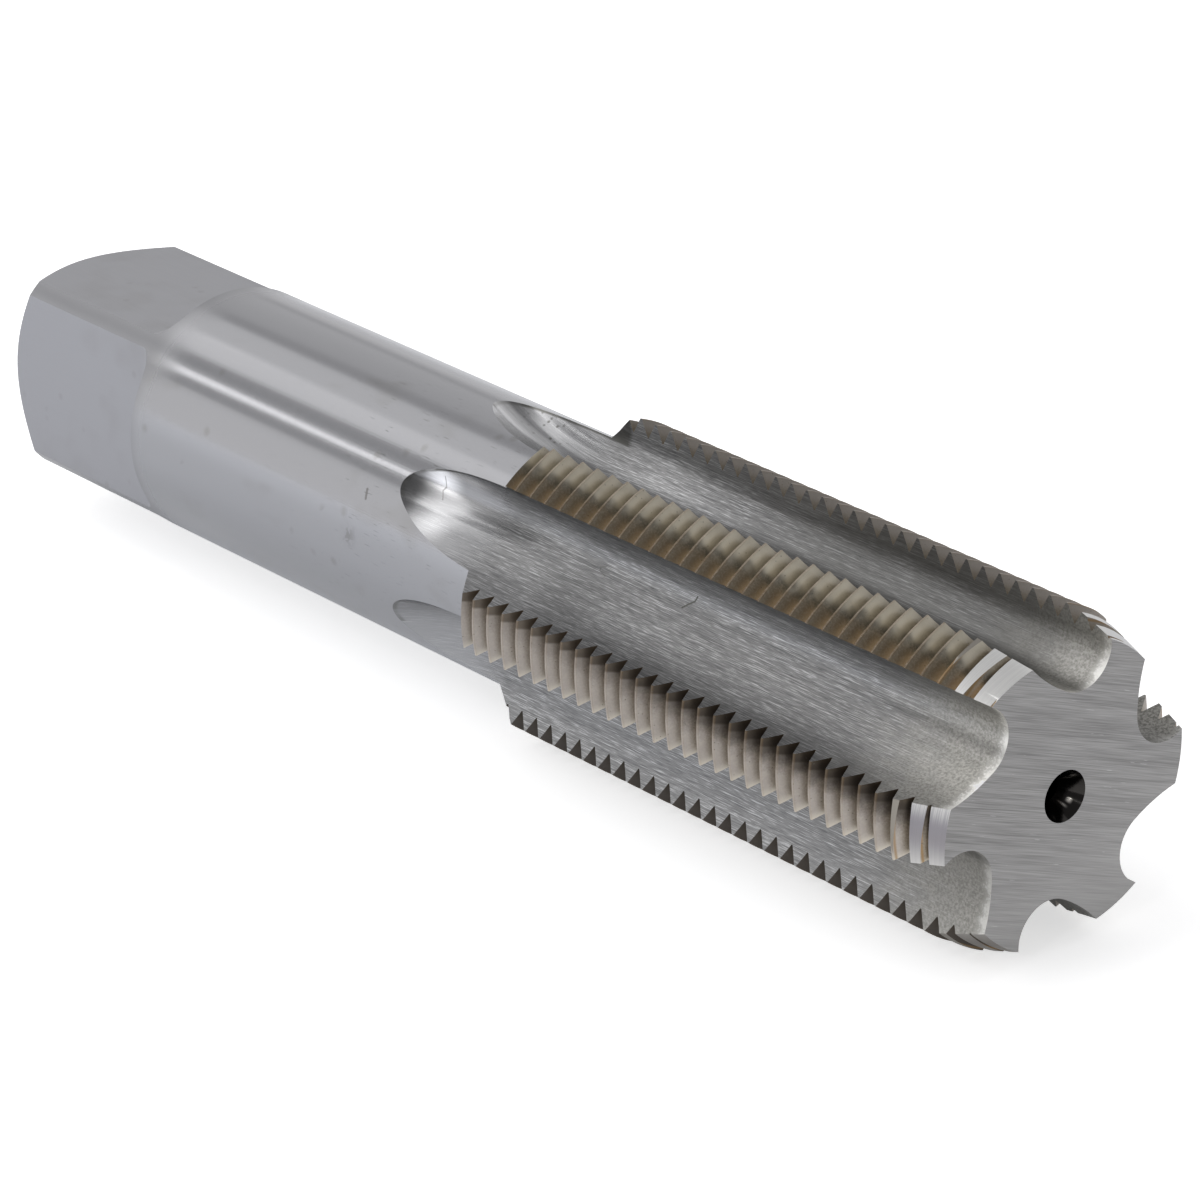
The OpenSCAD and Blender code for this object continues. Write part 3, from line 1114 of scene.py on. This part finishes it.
@dataclass(frozen=True)
class ThreadFinish:
    """Ground thread with the tint of hardening, partly painted reflection on the upper land: pale at the heel,
    brown at the edge, painted shade between; painted shade also on the groove bottoms, the near land's bevels
    and the lower and far lands.
    """

    pale: Colour = (0.52, 0.48, 0.395)
    pink: Colour = (0.40, 0.365, 0.335)
    # Groove bottoms: tint, partly painted shade; also painted shade on the far land
    root_tint_and_shade: Colour = (0.25, 0.218, 0.172)
    brown: Colour = (0.20, 0.165, 0.12)
    straw: Colour = (0.43, 0.35, 0.255)
    # Painted shade between heel and edge on the upper land, and dark specks
    shade_and_specks: Colour = (0.12, 0.112, 0.097)
    # Tint of the near land's bevel facets, partly painted shade
    facet_tint_and_shade: Colour = (0.125, 0.10, 0.073)
    cream: Colour = (0.62, 0.575, 0.49)
    # Painted shade on the near land's bevels and on the lower land
    deep_shade: Colour = (0.062, 0.052, 0.043)
    edge_tint: Colour = (0.30, 0.19, 0.085)
    roughness: float = 0.32
    line_depth: float = 0.0015
    bevel_from: float = 245.0
    bevel_to: float = 264.0

    def dress(self, b: FinishBench) -> None:
        """Lays the finish on the material of a bench."""
        s = TapSizes()
        cloud = b.grain(2.6, 1.3, 1.3, 1)
        fleck = b.grain(0.2, 0.2, 1.4, 2)
        drift = b.line(cloud, 3, b.line(fleck, 1.8, b.minus(b.turn, 2.4)))
        ragged = b.line(cloud, 5, b.line(fleck, 2, b.minus(b.around, 3.5)))
        root = b.ramp(b.out, s.r_major - 0.35, s.r_root + 0.15)
        # The upper land's tint, partly painted reflection
        tint_and_reflection = b.side(UPPER_LAND, 58)
        # Painted shade band between heel and edge
        darkening = b.times(b.band(drift, 2, 4), b.ramp(cloud, 0.2, 0.7, 0.4, 0.8))
        forward = b.ramp(b.along, 62, 22, 0.3, 1)
        low, high = self.bevel_from, self.bevel_to
        # Painted shade on the near land's bevels, deeper towards the front
        bevel = b.mix(b.times(b.ramp(b.around, high - 3.5, high + 0.2), forward), self.facet_tint_and_shade, self.deep_shade)
        on_bevel = b.times(b.ramp(b.around, low, low + 1), b.ramp(b.around, high, high + 1, 1, 0))
        cone = b.line(b.along, s.chamfer_slope, s.face_d / 2)
        tip = b.band(b.minus(b.math("MINIMUM", cone, s.r_major), b.out), 0, 0.16)
        colour = b.coats(
            # Groove bottoms darker, partly tint and partly painted shade
            b.mix(root, b.mix(tint_and_reflection, self.pink, self.pale), self.root_tint_and_shade),
            # Brown towards the edge on the upper land, partly painted reflection
            (b.times(b.ramp(drift, 0.5, 5), tint_and_reflection), b.mix(root, self.brown, self.straw)),
            # Painted shade between heel and edge on the upper land
            (b.times(darkening, tint_and_reflection), self.shade_and_specks),
            (b.times(b.ramp(fleck, 0.35, 0.8), 0.16), self.cream),
            (b.times(on_bevel, b.line(forward, 0.25, 0.7)), bevel),
            # Painted shade by the near land's bevels
            (b.times(b.band(ragged, high + 0.5, 9), forward, 0.85), self.deep_shade),
            (b.side(283, 4.5, 0.95), self.cream),
            # Painted shade over the lower land
            (b.side(LOWER_LAND, 50, 0.9), self.deep_shade),
            # Painted shade over the far land
            (b.side(FAR_LAND, 50, 0.25), self.root_tint_and_shade),
            (b.times(tip, b.ramp(b.along, 7, 4, 0.15, 0.85)), self.edge_tint),
            (b.times(b.specks(0.22, 0.04), 0.6), self.shade_and_specks),
        )
        b.finish(colour, b.line(cloud, 0.12, self.roughness), b.grain(0.05, 2.5, 1.4, 2), self.line_depth)


@dataclass(frozen=True)
class ChamferFinish:
    """Freshly ground chamfer: bright, with fine rings round the tap, and the land's tint behind it; painted
    shade darkens it on the near and lower lands.
    """

    steel: Colour = (0.68, 0.675, 0.655)
    line: Colour = (0.44, 0.44, 0.445)
    smudge: Colour = (0.27, 0.27, 0.29)
    # Painted shade on the near land's chamfer
    near_land_shade: Colour = (0.25, 0.238, 0.255)
    # Painted shade on the lower land's chamfer
    lower_land_shade: Colour = (0.10, 0.075, 0.055)
    land: Colour = (0.27, 0.25, 0.22)
    roughness: float = 0.34
    ring_depth: float = 0.002

    def dress(self, b: FinishBench) -> None:
        """Lays the finish on the material of a bench."""
        rings = b.grain(0.1, 9, 1.8, 1)
        near_land = b.side(NEAR_LAND - 4, 14)
        colour = b.coats(
            self.steel,
            (b.times(b.ramp(rings, 0.65, 0.35), b.line(near_land, 0.8, 0.2)), self.line),
            (b.side(NEAR_LAND - 3, 5.5, 0.9), self.smudge),
            # Painted shade on the near land's chamfer
            (b.side(NEAR_LAND + 0.5, 16, 0.95), self.near_land_shade),
            # Painted shade on the lower land's chamfer
            (b.side(LOWER_LAND, 25, 0.8), self.lower_land_shade),
            (b.ramp(b.along, 3.9, 4.4), self.land),
        )
        b.finish(colour, self.roughness, rings, self.ring_depth)


@dataclass(frozen=True)
class FaceFinish:
    """Front face: straight fine brushing right across, with painted light making it lighter towards the bottom.
    """

    dark: Colour = (0.165, 0.163, 0.162)
    light: Colour = (0.35, 0.346, 0.345)
    # Painted light, lighter towards the bottom of the face
    lower_light: Colour = (0.47, 0.463, 0.46)
    bare: Colour = (0.62, 0.62, 0.62)
    brush_deg: float = 21.0
    roughness: float = 0.3
    line_depth: float = 0.0012

    def dress(self, b: FinishBench) -> None:
        """Lays the finish on the material of a bench."""
        turn = (math.radians(self.brush_deg), 0, 0)
        parts = b.parts(b.one("ShaderNodeMapping", {"Vector": b.where, "Rotation": turn}))
        brush = b.one("ShaderNodeCombineXYZ", {"X": parts["Y"], "Y": parts["Z"], "Z": parts["X"]})
        lines = b.grain(5, 0.07, 1.2, 1.5, brush)
        broad = b.grain(11, 0.4, 1.2, 2, brush)
        share = b.line(lines, 0.6, b.times(broad, 0.4))
        scratch = b.ramp(b.grain(2.2, 0.12, 1.6, 1, brush), 0.92, 0.98)
        height = b.times(b.plus(parts["Z"], b.times(parts["Y"], -0.5)), 1 / MM)
        colour = b.coats(
            self.dark,
            (b.ramp(share, 0.2, 0.8), self.light),
            (b.times(scratch, 0.6), self.bare),
            # Painted light towards the bottom of the face
            (b.ramp(height, 18, -4, 0, 0.6), self.lower_light),
        )
        b.finish(colour, b.line(share, 0.15, self.roughness), lines, self.line_depth)


@dataclass(frozen=True)
class CentreFinish:
    """Drilled centre: near black as a painted shade in the hole, with a small painted glint."""

    # Painted shade: the hole's steel is near black
    steel: Colour = (0.035, 0.033, 0.031)
    glint: Colour = (0.95, 0.90, 0.82)
    roughness: float = 0.11
    ring_depth: float = 0.0015

    def dress(self, b: FinishBench) -> None:
        """Lays the finish on the material of a bench."""
        rings = b.grain(0.15, 3, 1.5)
        # Painted glint
        shine = b.most(b.spot(1, 0.35, 53, 10), b.times(b.spot(1.3, 0.6, 34, 6), 0.7))
        colour = b.mix(shine, self.steel, self.glint)
        b.finish(colour, b.line(rings, 0.06, self.roughness), rings, self.ring_depth)


FINISHES: dict[Zone, Finish] = {
    Zone.SHANK: GroundShank(),
    Zone.FLAT: MilledFlat(),
    Zone.END: MilledFlat(steel=(0.32, 0.32, 0.33), roughness=0.25),
    Zone.THREAD: ThreadFinish(),
    Zone.CREST: ThreadFinish(
        pale=(0.24, 0.22, 0.185), pink=(0.4, 0.37, 0.34), brown=(0.085, 0.07, 0.052), roughness=0.4
    ),
    Zone.CHAMFER: ChamferFinish(),
    Zone.FLUTE: FluteFinish(),
    Zone.FACE: FaceFinish(),
    Zone.CENTRE: CentreFinish(),
}


@dataclass(frozen=True)
class Softbox:
    """A flat soft lamp that faces the tap.

    Its place is the part of its direction along X, and its angle round the tap from straight up towards +Y.
    """

    name: str
    along: float
    round_deg: float
    distance: float
    size: tuple[float, float]
    level: float

    def build(self, target: Vector) -> None:
        """Hangs the lamp.

        Args:
            target: The point that it faces.
        """
        light = bpy.data.lights.new(self.name, "AREA")
        light.shape = "RECTANGLE"
        light.size, light.size_y = self.size
        light.energy = self.level * math.pi * self.size[0] * self.size[1]
        lamp = bpy.data.objects.new(self.name, light)
        turn, reach = math.radians(self.round_deg), math.sqrt(1 - self.along**2)
        back = Vector((self.along, reach * math.sin(turn), reach * math.cos(turn)))
        side = (Vector((1, 0, 0)) - back * back.x).normalized()
        axes = Matrix((side, back.cross(side), back)).transposed().to_4x4()
        lamp.matrix_world = Matrix.Translation(target + back * self.distance) @ axes
        show(lamp)


@dataclass(frozen=True)
class PhotoCamera:
    """The photograph's viewpoint, found by fitting the tap's known sizes to it."""

    azimuth_deg: float = 50.4362
    elevation_deg: float = 23.8763
    roll_deg: float = -1.0146
    aside: float = 40.3084
    above: float = -17.0256
    distance: float = 518.8216
    focal_px: float = 5984.7716
    frame_px: float = 1200.0
    sensor_mm: float = 36.0
    clip: Flat = (0.01, 50.0)

    def build(self, origin: Vector) -> None:
        """Places the camera.

        Args:
            origin: The middle of the front face, in metres.
        """
        a, e, r = (math.radians(v) for v in (self.azimuth_deg, self.elevation_deg, self.roll_deg))
        back = Vector((math.cos(e) * math.sin(a), -math.cos(e) * math.cos(a), math.sin(e)))
        level = Vector((math.cos(a), math.sin(a), 0))
        upright = back.cross(level)
        right = level * math.cos(r) + upright * math.sin(r)
        up = upright * math.cos(r) - level * math.sin(r)
        data = bpy.data.cameras.new("photo_camera")
        data.sensor_fit = "HORIZONTAL"
        data.sensor_width = self.sensor_mm
        data.lens = self.focal_px * self.sensor_mm / self.frame_px
        data.clip_start, data.clip_end = self.clip
        camera = bpy.data.objects.new("photo_camera", data)
        where = back * self.distance - right * self.aside - up * self.above
        turn = Matrix((right, up, back)).transposed().to_4x4()
        camera.matrix_world = Matrix.Translation(origin + where * MM) @ turn
        show(camera)
        bpy.context.scene.camera = camera


@dataclass(frozen=True)
class Studio:
    """Plain pale floor, soft lamps and an even room."""

    target: Point = (0.0, 0.0, 0.015)
    room: Colour = (0.62, 0.62, 0.635)
    open_share: float = 0.45
    floor_size: float = 12.0
    floor_colour: Colour = (0.86, 0.86, 0.86)
    floor_lift: float = 0.62
    near_shine: float = 0.39
    far_shine: float = 0.53
    front_shine: float = 0.47
    rear_cool: float = 0.07
    lamps: tuple[Softbox, ...] = (
        Softbox("overhead_far", -0.705, 6, 1, (0.8, 0.27), 0.55),
        Softbox("overhead_near", -0.705, -14.5, 1, (0.8, 0.22), 0.85),
        Softbox("strip", -0.705, -41.9, 1, (0.8, 0.05), 2.5),
        Softbox("low_side", -0.705, -76, 1, (0.8, 0.48), 0.6),
        Softbox("rear", -0.73, 47, 1, (0.7, 0.43), 0.2),
        Softbox("rear_low", -0.66, 93, 1, (0.8, 0.45), 0.22),
        Softbox("near_arch", -0.235, -52, 0.8, (0.22, 1.05), 2.2),
        Softbox("top_arch", -0.33, -6, 0.8, (0.16, 0.4), 1.3),
        Softbox("rear_high", -0.34, 46, 0.9, (0.34, 0.7), 0.6),
        Softbox("front_high", 0.12, 42, 0.9, (0.5, 0.65), 0.6),
        Softbox("front_fill", 0.86, 30, 0.9, (0.3, 0.3), 0.7),
        Softbox("centre_glint", 0.33, -58, 0.9, (0.06, 0.06), 30),
    )

    def build(self) -> None:
        """Builds the lamps, the floor and the room."""
        for lamp in self.lamps:
            lamp.build(Vector(self.target))
        self.floor()
        self.world()

    def floor(self) -> None:
        """Lays the floor.

        What the camera and the metal see of it is lifted to white. In the metal the lift fades with the
        distance from the tap and from its front end, and cools towards the rear.
        """
        half = self.floor_size / 2
        mesh = bpy.data.meshes.new("floor")
        corners = [(-half, -half, 0), (half, -half, 0), (half, half, 0), (-half, half, 0)]
        mesh.from_pydata(corners, [], [(0, 1, 2, 3)])
        plane = bpy.data.objects.new("floor", mesh)
        show(plane)
        material = bpy.data.materials.new("pale_floor")
        b = NodeBench(emptied(material))
        rays = b.add("ShaderNodeLightPath").outputs
        mirrored = b.most(rays["Is Glossy Ray"], rays["Is Transmission Ray"])
        parts = b.parts(b.add("ShaderNodeTexCoord").outputs["Object"])
        beside = b.times(
            b.ramp(parts["Y"], 0, -0.03, 0.45, 1),
            b.ramp(parts["Y"], -0.035, -0.13, self.near_shine, self.far_shine),
        )
        ahead = b.ramp(parts["X"], 0.066, 0.08, 0, self.front_shine)
        shine = b.times(mirrored, b.most(beside, ahead))
        strength = b.line(rays["Is Camera Ray"], self.floor_lift, shine)
        cool = b.times(mirrored, b.ramp(parts["X"], 0.06, 0, 0, self.rear_cool))
        shares = {"Red": b.minus(1, cool), "Green": b.line(cool, -0.4, 1), "Blue": b.plus(1, cool)}
        glow = {"Color": b.one("ShaderNodeCombineColor", shares), "Strength": strength}
        matt = b.one("ShaderNodeBsdfDiffuse", {"Color": self.floor_colour})
        both = b.one("ShaderNodeAddShader", {0: matt, 1: b.one("ShaderNodeEmission", glow)})
        b.add("ShaderNodeOutputMaterial", {"Surface": both})
        mesh.materials.append(material)

    def world(self) -> None:
        """An even room, dimmer beyond the thread end, where it is open."""
        world = bpy.data.worlds.new("room")
        bpy.context.scene.world = world
        b = NodeBench(emptied(world))
        way = b.parts(b.add("ShaderNodeTexCoord").outputs["Generated"])
        share = b.ramp(way["X"], -0.22, 0, 1, self.open_share)
        light = b.one("ShaderNodeBackground", {"Color": self.room, "Strength": share})
        b.add("ShaderNodeOutputWorld", {"Surface": light})
        bpy.context.scene.view_settings.view_transform = "Standard"


def main() -> None:
    """Builds the tap and its studio and dresses it; hides the solid model's tap and hangs the new piece on the
    root body.
    """
    logging.basicConfig(level=logging.INFO, format="%(name)s: %(message)s")
    sizes = TapSizes()
    for zone, finish in FINISHES.items():
        finish.dress(FinishBench(zone))
    body = TapBody(sizes).build()
    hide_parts("tap")
    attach(body, "root")
    LOG.info("%s: %d faces", body.name, len(body.data.polygons))
    Studio().build()
    PhotoCamera().build(Vector((sizes.total_len / 2, 0, sizes.axis_h)) * MM)


if __name__ == "__main__":
    main()
